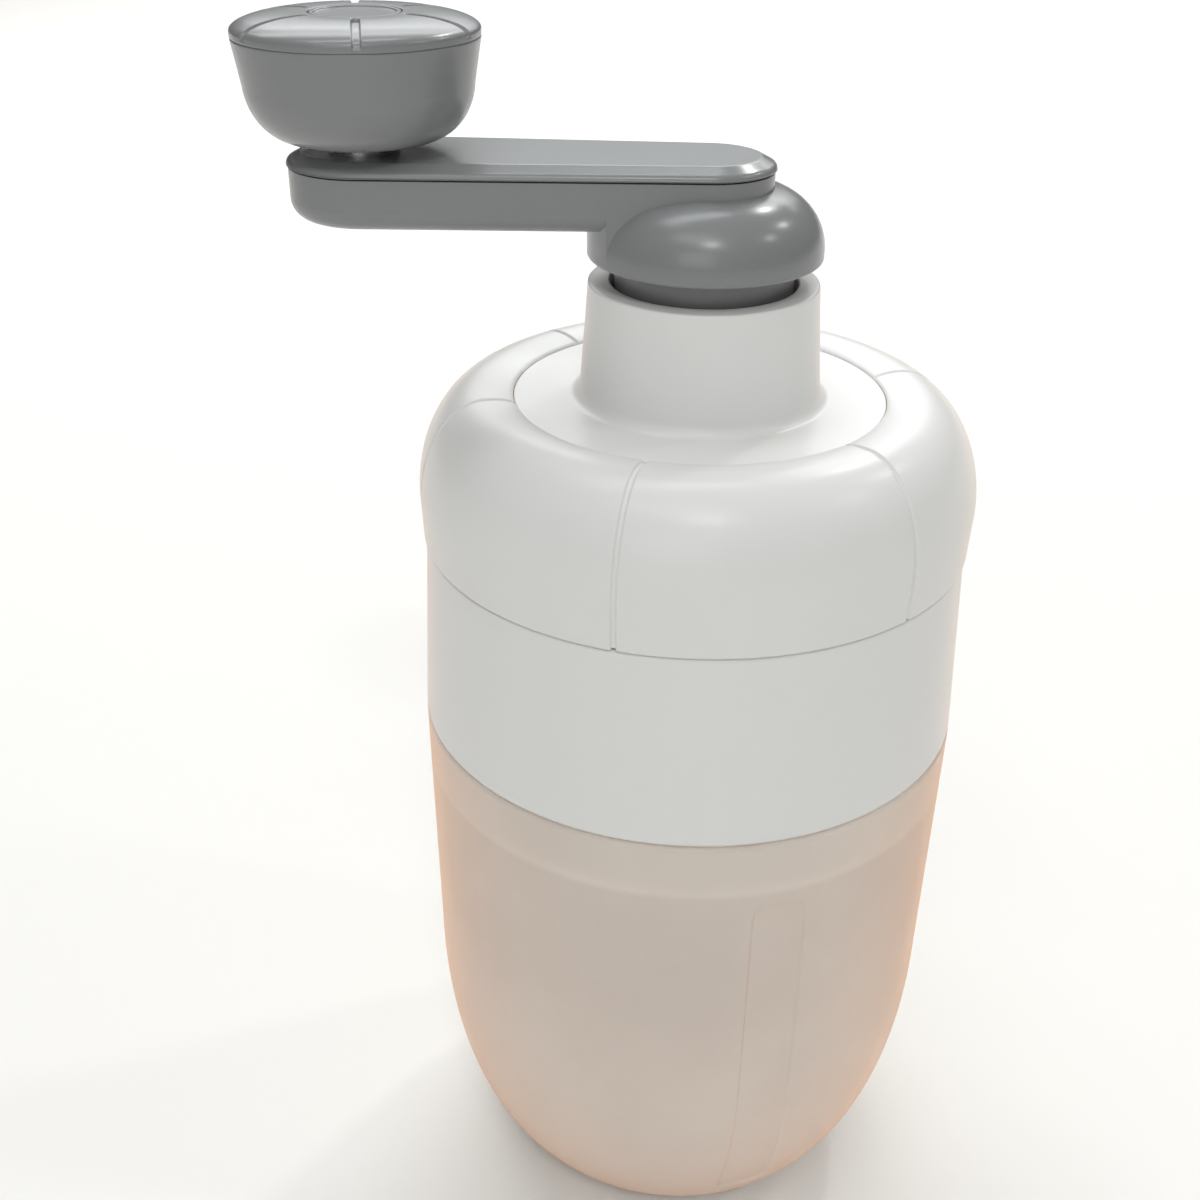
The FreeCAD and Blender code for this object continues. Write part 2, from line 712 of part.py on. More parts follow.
def pusher_spikes():
    tip = pusher_base - spike_length
    spikes = []
    for x, y in spike_places():
        shape = turned((0, tip), (spike_radius * 0.15, tip), (spike_radius, tip + spike_tip),
                       (spike_radius, pusher_top - 0.7), (0, pusher_top - 0.7))
        shape.translate(Vec(x, y, 0))
        spikes.append(shape)
    return Part.makeCompound(spikes)


def stop_washer():
    return tube(large_screw[0] + hole_play, shaft_square * 0.95, shaft_end - washer_thickness, shaft_end)


def stop_screw():
    return screw(large_screw, shaft_end - washer_thickness, thread_depth, down=False)


# Crank: the arm's shell with the hub under one end, closed by a plate

knob_x = -crank_length


def arm_outline(inset):
    return around([(0, 0, hub_end_radius - inset), (knob_x, 0, knob_end_radius - inset)])


def arm_shell():
    arm = round_edges(slab(arm_outline(0), arm_base, arm_top), arm_edge, arm_base)
    shoulder = rim + hub_top_height
    wall_top = rim + hub_wall_height
    dome = turned((0, rim), (hub_radius - hub_edge, rim), ((hub_radius, rim), (hub_radius, rim + hub_edge)),
                  (hub_radius, wall_top), ((hub_radius, shoulder), (hub_crown_radius, shoulder)),
                  (0, shoulder))
    drum = turned((0, rim), (hub_radius - hub_edge, rim), ((hub_radius, rim), (hub_radius, rim + hub_edge)),
                  (hub_radius, arm_base + arm_edge), (0, arm_base + arm_edge))
    neck = drum.common(slab(arm_outline(0), rim, arm_base + arm_edge))
    skirt = rod(hub_skirt_radius, hub_base + hub_skirt_lift, rim + 0.5)
    boss = rod(hub_boss_radius, hub_base, rim + 0.5)
    shell = fused([arm, dome, neck, skirt, boss])
    channel = tube(hub_skirt_radius, hub_radius - hub_wall, rim, rim + hub_channel_height)
    hollow = tube(hub_boss_radius, hub_skirt_radius - hub_skirt_wall, hub_base, rim + hub_hollow_height)
    pocket = slab(arm_outline(arm_wall), arm_floor, shoulder + 10)
    shell = shell.cut(channel).cut(hollow).cut(pocket)
    web_top = shaft_top + socket_end + web_thickness
    hub_post = rod(shaft_square * 0.5 * sqrt(2) + 2, arm_floor - 0.5, web_top)
    axle_post = rod(axle_foot_radius + axle_boss_wall, arm_floor - 0.5, arm_top - plate_lip - 0.1, knob_x)
    ribs = []
    for i in range(arm_rib_count):
        x = knob_x * (i + 1.0) / (arm_rib_count + 1)
        half = hub_end_radius + (knob_end_radius - hub_end_radius) * x / knob_x - arm_wall + 0.3
        ribs.append(block((x - arm_rib_thickness / 2, -half, arm_floor - 0.5),
                          (x + arm_rib_thickness / 2, half, arm_top - plate_lip - 1)))
    shell = fused([shell, hub_post, axle_post] + ribs)
    shell = shell.cut(square_rod(shaft_square + 2 * square_play, hub_base - 1, shaft_top + socket_end))
    shell = shell.cut(rod(large_screw[0] + hole_play, shaft_top, web_top + 1))
    return shell.cut(rod(axle_foot_radius + screw_play, arm_floor - 1.2, arm_top, knob_x))


def arm_cover():
    shoulder_base = plate_top - plate_fall
    plate = slab(arm_outline(-plate_overhang), plate_base, shoulder_base)
    low = arm_outline(-plate_overhang).OuterWire
    high = arm_outline(plate_shoulder - plate_overhang).OuterWire
    low.translate(Vec(0, 0, shoulder_base))
    high.translate(Vec(0, 0, plate_top))
    plate = plate.fuse(Part.makeLoft([low, high], True, True)).removeSplitter()
    plate = round_edges(plate, plate_edge, shoulder_base)
    lip = slab(arm_outline(arm_wall + 0.15), arm_top - plate_lip, plate_base + 0.3)
    inside = arm_outline(arm_wall + 0.15 + plate_lip_wall)
    lip = lip.cut(slab(inside, arm_top - plate_lip - 1, plate_base + 1))
    shape = plate.fuse(lip).removeSplitter()
    return shape.cut(rod(axle_foot_radius + screw_play, arm_top - plate_lip - 1, plate_top + 1, knob_x))


def hub_washer():
    low = shaft_top + socket_end + web_thickness
    return tube(large_screw[0] + hole_play, large_screw[1] + 1.2, low, low + hub_washer_thickness)


def hub_screw():
    seat = shaft_top + socket_end + web_thickness + hub_washer_thickness
    return screw(large_screw, seat, seat - shaft_top + thread_depth - 0.5)


# Knob: a bowl that turns on a fixed axle, closed by a grooved cap with an inlaid disc

axle_top = knob_base + knob_tube_height + knob_float


def knob_axle():
    shape = fused([rod(axle_foot_radius, arm_floor - 1, plate_top + 0.5, knob_x),
                   rod(axle_collar_radius, plate_top, knob_base, knob_x),
                   rod(axle_radius, knob_base - 0.5, axle_top, knob_x)])
    return shape.cut(rod(large_screw[0] + screw_play, axle_top - thread_depth - 0.5, axle_top, knob_x))


def knob_washer():
    return tube(large_screw[0] + hole_play, axle_radius + knob_tube_wall,
                axle_top, axle_top + washer_thickness, knob_x)


def knob_screw():
    return screw(large_screw, axle_top + washer_thickness, thread_depth, knob_x)


def knob_bowl():
    bore = axle_radius + shaft_play
    tube_radius = bore + knob_tube_wall
    waist = knob_base + knob_waist_height
    inner = knob_waist_radius - knob_wall
    floor = knob_base + knob_wall
    shape = turned((bore, knob_base), (knob_base_radius, knob_base),
                   ((knob_waist_radius, knob_base), (knob_waist_radius, waist)),
                   (knob_radius, knob_seam - 0.2), (knob_radius - 0.2, knob_seam),
                   (knob_radius - knob_wall, knob_seam), (inner, waist),
                   ((inner, floor), (knob_base_radius, floor)), (tube_radius, floor),
                   (tube_radius, knob_base + knob_tube_height), (bore, knob_base + knob_tube_height))
    shape.translate(Vec(knob_x, 0, 0))
    return shape


def knob_cap_skin(inset):
    """The cap's outer form, drawn in by inset."""
    side = cap_base + knob_cap_side
    return turned((0, cap_base - 1), (knob_radius - inset, cap_base - 1), (knob_radius - inset, side),
                  ((knob_radius - inset, cap_top - inset), (knob_cap_flat_radius, cap_top - inset)),
                  (0, cap_top - inset))


def knob_cap():
    side = cap_base + knob_cap_side
    lip_outer = knob_radius - knob_wall - 2 * loose_fit
    lip_inner = lip_outer - 1.4
    pocket = inlay_radius + 0.15
    pocket_floor = cap_top - inlay_sink - inlay_thickness
    ceiling = pocket_floor - 1.2
    shape = turned((0, ceiling), (pocket + 1.5, ceiling), (pocket + 2.5, cap_top - knob_wall),
                   (lip_inner, side), (lip_inner, knob_seam - knob_lip),
                   (lip_outer, knob_seam - knob_lip), (lip_outer, cap_base),
                   (knob_radius - 0.2, cap_base), (knob_radius, cap_base + 0.2), (knob_radius, side),
                   ((knob_radius, cap_top), (knob_cap_flat_radius, cap_top)), (pocket + 0.25, cap_top),
                   (pocket, cap_top - 0.25), (pocket, pocket_floor), (0, pocket_floor))
    band = knob_cap_skin(-1).cut(knob_cap_skin(knob_groove_depth))
    groove = band.common(block((pit_place, -knob_groove_width / 2, cap_base + knob_groove_end),
                               (knob_radius + 2, knob_groove_width / 2, cap_top + 2)))
    pit = rod(pit_radius, cap_top - knob_groove_depth - 0.5, cap_top + 1, pit_place + pit_radius)
    for one in ring_of(groove, steps_round(groove_count, knob_groove_phase)):
        shape = shape.cut(one)
    for one in ring_of(pit, steps_round(groove_count, knob_groove_phase)):
        shape = shape.cut(one)
    shape.translate(Vec(knob_x, 0, 0))
    return shape


def knob_inlay():
    top = cap_top - inlay_sink
    low = top - inlay_thickness
    shape = turned((0, low), (inlay_radius, low), (inlay_radius, top + 0.15),
                   ((inlay_radius, top + 0.25), (inlay_radius - 0.2, top + 0.25)),
                   (inlay_radius - inlay_ring, top + 0.25),
                   (inlay_radius - inlay_ring - 0.2, top), (0, top))
    shape.translate(Vec(knob_x, 0, 0))
    return shape


pieces = (cup, casing, chamber_screws, ice_chamber, blade, blade_clamp, blade_screws, cover_shell,
          neck_tower, tower_screws, shaft_bush, drive_shaft, thrust_washer, shaft_clip, spring_seat,
          pusher_spring, pusher_disc, pusher_spikes, stop_washer, stop_screw, arm_shell, arm_cover,
          hub_washer, hub_screw, knob_axle, knob_washer, knob_screw, knob_bowl, knob_cap, knob_inlay)

os.makedirs("parts", exist_ok=True)
for piece in pieces:
    save(piece.__name__, piece())
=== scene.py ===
import bpy, bmesh, json
import numpy as np
from mathutils import Matrix, Vector


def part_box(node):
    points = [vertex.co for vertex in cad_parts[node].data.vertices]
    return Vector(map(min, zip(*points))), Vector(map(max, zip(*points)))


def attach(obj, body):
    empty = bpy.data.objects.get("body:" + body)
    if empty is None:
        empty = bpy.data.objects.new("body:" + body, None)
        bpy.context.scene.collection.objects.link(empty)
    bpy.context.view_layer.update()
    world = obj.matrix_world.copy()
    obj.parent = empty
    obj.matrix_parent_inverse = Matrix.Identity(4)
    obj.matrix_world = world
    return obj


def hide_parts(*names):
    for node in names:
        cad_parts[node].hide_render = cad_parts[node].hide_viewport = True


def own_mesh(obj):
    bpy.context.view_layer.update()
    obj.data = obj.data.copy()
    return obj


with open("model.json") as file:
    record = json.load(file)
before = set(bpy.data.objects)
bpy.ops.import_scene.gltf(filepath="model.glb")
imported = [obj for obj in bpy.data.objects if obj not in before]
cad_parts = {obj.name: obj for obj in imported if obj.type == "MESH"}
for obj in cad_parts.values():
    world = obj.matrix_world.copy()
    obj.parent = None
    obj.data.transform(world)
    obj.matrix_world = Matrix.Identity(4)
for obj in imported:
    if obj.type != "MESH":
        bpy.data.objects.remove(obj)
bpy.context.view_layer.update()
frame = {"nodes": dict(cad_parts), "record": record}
nodes = frame["nodes"]
mm = 0.001
print("frame loaded:", len(nodes), "nodes")


# Node helpers
def node(tree, kind, links=(), **settings):
    # A node with its settings; links are pairs of an input and what feeds it, a socket or a value
    made = tree.nodes.new(kind)
    for key, value in settings.items():
        setattr(made, key, value)
    for key, source in links:
        if isinstance(source, bpy.types.NodeSocket):
            tree.links.new(source, made.inputs[key])
        else:
            made.inputs[key].default_value = source
    return made


def maths(tree, operation, *values):
    # A math node's result; the values are sockets or numbers
    return node(tree, "ShaderNodeMath", enumerate(values), operation=operation).outputs[0]


def mapped(tree, value, start, end, atStart, atEnd):
    # Runs from atStart to atEnd while the value runs from start to end, and stays there beyond
    return node(tree, "ShaderNodeMapRange", enumerate((value, start, end, atStart, atEnd))).outputs[0]


def scaled(tree, colour, factor):
    return node(tree, "ShaderNodeVectorMath", [(0, colour), ("Scale", factor)], operation="SCALE").outputs[0]


def noise(tree, place, size, **inputs):
    # Noise whose blots are about as large as the size
    links = [("Vector", place), ("Scale", maths(tree, "DIVIDE", 1.0, size)), *inputs.items()]
    return node(tree, "ShaderNodeTexNoise", links).outputs["Fac"]


# Studio: the camera looks a little down on the front, over a pale floor, under a sky that grows brighter overhead
studio = {
    "cameraPlace": (-8.32, -238.32, 253.37), "cameraYaw": -1.926, "cameraPitch": 28.959, "cameraRoll": 0.55,
    "lens": 45, "sensor": 36, "clip": (0.01, 50),
    "floorSize": 6.0, "floorTone": (0.83, 0.82, 0.80), "floorRoughness": 0.9, "floorSpecular": 0.2,
    "skyHorizon": 0.15, "skyZenith": 0.60, "skyFront": 0.5, "skySide": 0.8,
    "frontTone": (0.965, 0.985, 1.0), "sideTone": (1.0, 0.90, 0.78),
}


def setCamera():
    yaw, pitch, roll = np.radians([studio["cameraYaw"], studio["cameraPitch"], studio["cameraRoll"]])
    ahead = Vector((np.sin(yaw) * np.cos(pitch), np.cos(yaw) * np.cos(pitch), -np.sin(pitch)))
    right = Vector((np.cos(yaw), -np.sin(yaw), 0))
    up = right.cross(ahead)
    side = np.cos(roll) * right + np.sin(roll) * up
    top = -np.sin(roll) * right + np.cos(roll) * up
    data = bpy.data.cameras.new("camera")
    data.lens, data.sensor_width, data.sensor_fit = studio["lens"], studio["sensor"], "HORIZONTAL"
    data.clip_start, data.clip_end = studio["clip"]
    camera = bpy.data.objects.new("camera", data)
    matrix = Matrix((side, top, -ahead)).transposed().to_4x4()
    matrix.translation = Vector(studio["cameraPlace"]) * mm
    camera.matrix_world = matrix
    bpy.context.scene.collection.objects.link(camera)
    bpy.context.scene.camera = camera


lamps = {
    "ceilingBack": {
        "place": (-0.2, 1.15, 1.35), "aim": (0, 0.2, 0.1), "size": (2.0, 0.4), "power": 10, "tone": (0.97, 0.99, 1.0)},
    "ceilingStrip": {
        "place": (-0.25, 0.38, 2.0), "aim": (0, 0, 0.15), "size": (1.4, 0.3), "power": 8, "tone": (0.97, 1.0, 1.0)},
    "backPanel": {
        "place": (0.0, 1.7, 0.95), "aim": (0, 0, 0.15), "size": (1.6, 0.7), "power": 4.5, "tone": (0.97, 1.0, 1.0)},
    "farFloor": {
        "place": (0.0, 2.6, 1.6), "aim": (0, 2.9, 0), "size": (3.5, 1.0), "power": 35, "tone": (1.0, 1.0, 1.0)},
    "ceilingFront": {
        "place": (-0.3, -1.0, 1.9), "aim": (0, 0, 0.15), "size": (1.2, 0.6), "power": 5, "tone": (0.98, 1.0, 1.0)},
    "frontFill": {
        "place": (-0.3, -1.7, 0.8), "aim": (0, 0, 0.12), "size": (1.0, 0.8), "power": 3.7, "tone": (1.0, 0.985, 0.96)},
    "spotBack": {
        "place": (0.94, 1.45, 2.0), "aim": (0, 0, 0.17), "size": (0.16, 0.16), "power": 8, "tone": (1.0, 1.0, 0.98)},
    "spotRight": {
        "place": (1.98, 0.87, 2.0), "aim": (0, 0, 0.17), "size": (0.16, 0.16), "power": 6, "tone": (1.0, 1.0, 0.98)},
    "spotSide": {
        "place": (2.09, -0.36, 2.0), "aim": (0, 0, 0.17), "size": (0.16, 0.16), "power": 4, "tone": (1.0, 1.0, 0.98)},
    "spotFront": {
        "place": (0.17, -1.57, 2.0), "aim": (0, 0, 0.17), "size": (0.4, 0.2), "power": 7, "tone": (0.98, 1.0, 1.0)},
}


def setLamps():
    for name, lamp in lamps.items():
        data = bpy.data.lights.new(name, "AREA")
        data.shape, data.size, data.size_y = "RECTANGLE", lamp["size"][0], lamp["size"][1]
        data.energy, data.color = lamp["power"], lamp["tone"]
        light = bpy.data.objects.new(name, data)
        light.location = lamp["place"]
        light.rotation_euler = (Vector(lamp["aim"]) - Vector(lamp["place"])).to_track_quat("-Z", "Y").to_euler()
        bpy.context.scene.collection.objects.link(light)


def setSky():
    # Towards (x, y, z) the strength is s(z) (1 - front y) (1 - side |x|), where s runs from the horizon's to the
    # zenith's, and the tone turns warmer with |x|
    world = bpy.data.worlds.new("room")
    world.use_nodes = True
    tree = world.node_tree
    facing = node(tree, "ShaderNodeSeparateXYZ", [(0, node(tree, "ShaderNodeTexCoord").outputs["Generated"])]).outputs
    rise = mapped(tree, facing["Z"], 0.0, 1.0, studio["skyHorizon"], studio["skyZenith"])
    front = maths(tree, "MULTIPLY_ADD", facing["Y"], -studio["skyFront"], 1.0)
    aside = maths(tree, "ABSOLUTE", facing["X"])
    fall = maths(tree, "MULTIPLY_ADD", aside, -studio["skySide"], 1.0)
    strength = maths(tree, "MULTIPLY", maths(tree, "MULTIPLY", rise, front), fall)
    frontTone, sideTone = (*studio["frontTone"], 1), (*studio["sideTone"], 1)
    tone = node(tree, "ShaderNodeMix", [(0, aside), (6, frontTone), (7, sideTone)], data_type="RGBA").outputs[2]
    shade = tree.nodes["Background"]
    tree.links.new(tone, shade.inputs["Color"])
    tree.links.new(strength, shade.inputs["Strength"])
    bpy.context.scene.world = world


setCamera()
setLamps()
setSky()
bpy.context.scene.view_settings.view_transform = "Standard"
print("camera, lamps and sky set")


# Material groups
floatType, colourType = "NodeSocketFloat", "NodeSocketColor"
surfaceOutputs = [("Colour", colourType), ("Roughness", floatType), ("Height", floatType)]


def groupOf(name, inputs, outputs):
    # A new node group; inputs are (name, type, default), outputs (name, type)
    group = bpy.data.node_groups.new(name, "ShaderNodeTree")
    for label, kind, value in inputs:
        socket = group.interface.new_socket(label, in_out="INPUT", socket_type=kind)
        socket.default_value = value
    for label, kind in outputs:
        group.interface.new_socket(label, in_out="OUTPUT", socket_type=kind)
    return group, group.nodes.new("NodeGroupInput"), group.nodes.new("NodeGroupOutput")


# Moulded skin: a fine even grain and slow unevenness, the same on every plastic part
def makeSkinGroup():
    group, given, out = groupOf("mouldedSkin", [
        ("Colour", colourType, (0.5, 0.5, 0.5, 1)), ("Colour Drift", floatType, 0.03),
        ("Roughness", floatType, 0.4), ("Roughness Drift", floatType, 0.06),
        ("Grain Size", floatType, 0.0004), ("Flow Size", floatType, 0.03),
    ], surfaceOutputs)
    place = node(group, "ShaderNodeTexCoord").outputs["Object"]
    grain = noise(group, place, given.outputs["Grain Size"], Detail=2.0)
    flow = noise(group, place, given.outputs["Flow Size"], Detail=4.0, Roughness=0.6)
    centred = maths(group, "SUBTRACT", flow, 0.5)
    drift = maths(group, "MULTIPLY_ADD", centred, given.outputs["Colour Drift"], 1.0)
    rough = maths(group, "MULTIPLY_ADD", centred, given.outputs["Roughness Drift"], given.outputs["Roughness"])
    group.links.new(scaled(group, given.outputs["Colour"], drift), out.inputs["Colour"])
    group.links.new(rough, out.inputs["Roughness"])
    group.links.new(grain, out.inputs["Height"])
    return group


# Turned metal: fine rings round Z, which vary the tone and the roughness too
def makeMetalGroup():
    group, given, out = groupOf("turnedMetal", [
        ("Colour", colourType, (0.6, 0.6, 0.6, 1)), ("Roughness", floatType, 0.3), ("Line Size", floatType, 0.0003),
    ], surfaceOutputs)
    place = node(group, "ShaderNodeTexCoord").outputs["Object"]
    stretched = node(group, "ShaderNodeVectorMath", [(0, place), (1, (0.06, 0.06, 1.0))], operation="MULTIPLY")
    lines = noise(group, stretched.outputs[0], given.outputs["Line Size"], Detail=3.0)
    tone = maths(group, "MULTIPLY_ADD", lines, 0.25, 0.88)
    rough = maths(group, "MULTIPLY_ADD", maths(group, "SUBTRACT", lines, 0.5), 0.25, given.outputs["Roughness"])
    group.links.new(scaled(group, given.outputs["Colour"], tone), out.inputs["Colour"])
    group.links.new(rough, out.inputs["Roughness"])
    group.links.new(lines, out.inputs["Height"])
    return group


skinGroup = makeSkinGroup()
metalGroup = makeMetalGroup()

# Each look has its group with the group's settings, the strength of the bump, and constants of the shader itself
bumpDistance = 0.0002
looks = {
    "whitePlastic": {
        "group": skinGroup, "bump": 0.02,
        "surface": {"Colour": (0.78, 0.785, 0.78, 1), "Colour Drift": 0.03, "Roughness": 0.30,
                    "Roughness Drift": 0.08, "Grain Size": 0.00035},
        "shader": {"Specular IOR Level": 0.35, "Sheen Weight": 0.3, "Sheen Roughness": 0.3,
                   "Sheen Tint": (1.0, 0.62, 0.38, 1)},
    },
    "greyPlastic": {
        "group": skinGroup, "bump": 0.03,
        "surface": {"Colour": (0.225, 0.234, 0.239, 1), "Colour Drift": 0.06, "Roughness": 0.25,
                    "Roughness Drift": 0.08, "Grain Size": 0.0003},
        "shader": {},
    },
    "acetalPlastic": {
        "group": skinGroup, "bump": 0.02,
        "surface": {"Colour": (0.78, 0.76, 0.68, 1), "Colour Drift": 0.03, "Roughness": 0.38,
                    "Roughness Drift": 0.06, "Grain Size": 0.0004},
        "shader": {},
    },
    "turnedSteel": {
        "group": metalGroup, "bump": 0.05,
        "surface": {"Colour": (0.62, 0.62, 0.63, 1), "Roughness": 0.28, "Line Size": 0.0004},
        "shader": {"Metallic": 1.0},
    },
    "groundSteel": {
        "group": metalGroup, "bump": 0.05,
        "surface": {"Colour": (0.66, 0.66, 0.67, 1), "Roughness": 0.2, "Line Size": 0.0002},
        "shader": {"Metallic": 1.0},
    },
    "frostedPlastic": {
        "group": skinGroup, "bump": 0.05,
        "surface": {"Colour": (0.90, 0.85, 0.80, 1), "Colour Drift": 0.24, "Roughness": 0.42,
                    "Roughness Drift": 0.08, "Grain Size": 0.0005},
        "shader": {"Transmission Weight": 0.5, "Alpha": 0.82, "IOR": 1.45, "Sheen Weight": 0.8,
                   "Sheen Roughness": 0.5, "Sheen Tint": (1.0, 0.56, 0.32, 1)},
        # Painted light on the cup: a lighter band above the mouth, where the skirt shows through, and a lighter foot
        "paintedLight": {"mouth": 0.093, "blur": 0.0006, "mouthLightGain": 1.16, "belly": 0.07, "foot": 0.005, "footLightGain": 1.33},
    },
}


def newMaterial(name, fixed):
    material = bpy.data.materials.new(name)
    material.use_nodes = True
    shader = material.node_tree.nodes["Principled BSDF"]
    for socket, value in fixed.items():
        shader.inputs[socket].default_value = value
    return material, shader


def withPaintedLight(tree, colour, paintedLight):
    # Painted light: the cup's colour is made lighter above the height named mouth, a painted glow where the casing's
    # skirt shows through the wall, and lighter again from its belly down to the foot
    height = node(tree, "ShaderNodeSeparateXYZ", [(0, node(tree, "ShaderNodeTexCoord").outputs["Object"])]).outputs["Z"]
    mouth, blur = paintedLight["mouth"], paintedLight["blur"]
    above = mapped(tree, height, mouth - blur, mouth + blur, 1.0, paintedLight["mouthLightGain"])
    below = mapped(tree, height, paintedLight["belly"], paintedLight["foot"], 1.0, paintedLight["footLightGain"])
    return scaled(tree, colour, maths(tree, "MULTIPLY", above, below))


def makeMaterial(name, look):
    material, shader = newMaterial(name, look["shader"])
    tree = material.node_tree
    surface = node(tree, "ShaderNodeGroup", look["surface"].items(), node_tree=look["group"]).outputs
    relief = [("Height", surface["Height"]), ("Strength", look["bump"]), ("Distance", bumpDistance)]
    colour = withPaintedLight(tree, surface["Colour"], look["paintedLight"]) if "paintedLight" in look else surface["Colour"]
    tree.links.new(colour, shader.inputs["Base Color"])
    tree.links.new(surface["Roughness"], shader.inputs["Roughness"])
    tree.links.new(node(tree, "ShaderNodeBump", relief).outputs["Normal"], shader.inputs["Normal"])
    return material


materials = {name: makeMaterial(name, look) for name, look in looks.items()}
slotMaterials = {
    "frosted_plastic": materials["frostedPlastic"], "white_plastic": materials["whitePlastic"],
    "grey_plastic": materials["greyPlastic"], "acetal": materials["acetalPlastic"], "steel": materials["turnedSteel"],
}
for entry in frame["record"]["subparts"]:
    data = nodes[entry["node"]].data
    data.materials.clear()
    data.materials.append(slotMaterials[entry["material_slot"]])
for name in ("blade", "blade_clamp"):
    nodes[name].data.materials[0] = materials["groundSteel"]
print("materials made")


# Shape helpers. A section is a line of (radius or inset, height) points, in millimetres like everything below
def arcPoints(centre, radii, start, end, count=9):
    # x = cx + rx cos t and z = cz + rz sin t, with t in even steps from start to end degrees
    turn = np.radians(np.linspace(start, end, count))
    return np.column_stack([centre[0] + radii[0] * np.cos(turn), centre[1] + radii[1] * np.sin(turn)])


def section(*parts, closed=True, steps=5, tight=0.12):
    # A corner (x, z, cut) becomes the parabola (1-t)^2 a + 2t(1-t) c + t^2 b between the places a and b that lie cut
    # away from it; long runs get a place close to each end, so that they shade flat
    parts = [np.atleast_2d(np.array(p, float)) for p in parts]
    t = np.linspace(0, 1, steps)[:, None]
    line = []
    for k, part in enumerate(parts):
        if part.shape[1] == 3:
            corner, cut = part[0, :2], part[0, 2]
            before = parts[k - 1][-1, :2] - corner
            after = parts[(k + 1) % len(parts)][0, :2] - corner
            a = corner + before * cut / np.linalg.norm(before)
            b = corner + after * cut / np.linalg.norm(after)
            part = (1 - t) ** 2 * a + 2 * t * (1 - t) * corner + t * t * b
        line.append(part)
    line = np.vstack(line)
    gap = np.roll(line, -1, 0) - line
    length = np.hypot(*gap.T)
    if not closed:
        length[-1] = 0
    step = gap * (tight / np.maximum(length, tight))[:, None]
    rows = np.stack([line, line + step, line + gap - step], 1)
    far = length > 5 * tight
    return rows[np.column_stack([np.ones(len(line), bool), far, far])]


def divided(line, longest):
    # Adds even steps to an open section where its runs are longer than the given length
    length = np.hypot(*np.diff(line, axis=0).T)
    count = np.maximum(1, np.ceil(length / longest)).astype(int)
    start = np.repeat(np.arange(len(count)), count)
    share = (np.arange(count.sum()) - np.repeat(np.cumsum(count) - count, count)) / count[start]
    return np.vstack([line[:-1][start] + np.diff(line, axis=0)[start] * share[:, None], line[-1:]])


# The columns of a turned piece are pairs of an angle in degrees and an offset in mm across it
def plainColumns(angles):
    return np.column_stack([angles, np.zeros(len(angles))])


def evenColumns(step):
    return plainColumns(np.arange(0, 360, step))


def columnsAround(features, coarse=3.0):
    # Each feature is (angle, offsets, room it takes in degrees), and even steps fill what is left between them
    features = sorted((f[0] % 360, np.array(f[1], float), f[2]) for f in features)
    columns = []
    for k, (angle, offsets, room) in enumerate(features):
        following = features[(k + 1) % len(features)]
        gap = (following[0] - angle) % 360 or 360
        left, right = angle + room, angle + gap - following[2]
        columns.append(np.column_stack([np.full(len(offsets), angle), offsets]))
        columns.append(plainColumns(np.linspace(left, right, max(2, int(np.ceil((right - left) / coarse)) + 1))))
    return np.vstack(columns)


def bothSides(*offsets):
    # The offsets on both sides of a middle line, and the line
    return [-offset for offset in reversed(offsets)] + [0, *offsets]


def beside(radius, angle, centres):
    # How far a place lies beside the nearest of some lines out from the axis, r sin(a - a0), in mm
    away = (np.asarray(angle)[..., None] - np.asarray(centres, float) + 180) % 360 - 180
    nearest = np.take_along_axis(away, np.abs(away).argmin(-1)[..., None], -1)[..., 0]
    return radius * np.sin(np.radians(nearest))


def keyed(points, centres):
    # The radius of each place, and its distance beside the nearest of the lines
    radius = np.hypot(points[..., 0], points[..., 1])
    return radius, np.abs(beside(radius, np.degrees(np.arctan2(points[..., 1], points[..., 0])), centres))


def turned(line, columns, press=None, axis=0.0, near=1.0):
    # Carries a section round Z: x = axis + r cos a and y = r sin a, where a column's angle is a0 + asin(offset / r), so
    # that a feature keeps its width from the radius near outwards. press(r, z, angle) gives the depth by which each
    # place is drawn in along the section's normal
    radius, height = line[:, 0][None], line[:, 1][None]
    angle = np.radians(columns[:, :1]) + np.arcsin(np.clip(columns[:, 1:] / np.maximum(radius, near), -0.9, 0.9))
    if press is not None:
        slope = np.gradient(line, axis=0)
        slope /= np.maximum(np.hypot(*slope.T), 1e-9)[:, None]
        depth = press(radius, height, np.degrees(angle))
        radius = radius - depth * slope[:, 1][None]
        height = height + depth * slope[:, 0][None]
    radius, height, angle = np.broadcast_arrays(radius, height, angle)
    return np.stack([axis + radius * np.cos(angle), radius * np.sin(angle), height], -1)


def belt(circles, arcSteps, sideSteps):
    # The line round a belt over circles (x, y, r), anticlockwise: c + r n along each arc and evenly along the runs
    # between them. Gives each place's centre, radius and normal
    circles = np.array(circles, float)
    ahead = np.roll(circles, -1, 0)
    gap = ahead[:, :2] - circles[:, :2]
    leave = np.arctan2(gap[:, 1], gap[:, 0]) - np.pi / 2 + np.arcsin((circles[:, 2] - ahead[:, 2]) / np.hypot(*gap.T))
    arrive = np.roll(leave, 1)
    rows = []
    for k, circle in enumerate(circles):
        share = np.linspace(0, 1, arcSteps[k])[:, None]
        facing = arrive[k] + (leave[k] - arrive[k]) % (2 * np.pi) * share
        rows.append(np.hstack([np.repeat(circle[None], arcSteps[k], 0), facing]))
        share = np.linspace(0, 1, sideSteps[k] + 2)[1:-1, None]
        rows.append(np.hstack([circle + (ahead[k] - circle) * share, np.full((sideSteps[k], 1), leave[k])]))
    rows = np.vstack(rows)
    return rows[:, :2], rows[:, 2:3], np.column_stack([np.cos(rows[:, 3]), np.sin(rows[:, 3])])


def along(outline, inset, share, height):
    # Places round an outline: centre + share (radius - inset) normal, at one height
    centre, radius, normal = outline
    flat = centre + share * (radius - inset) * normal
    return np.column_stack([flat, np.full(len(flat), height)])


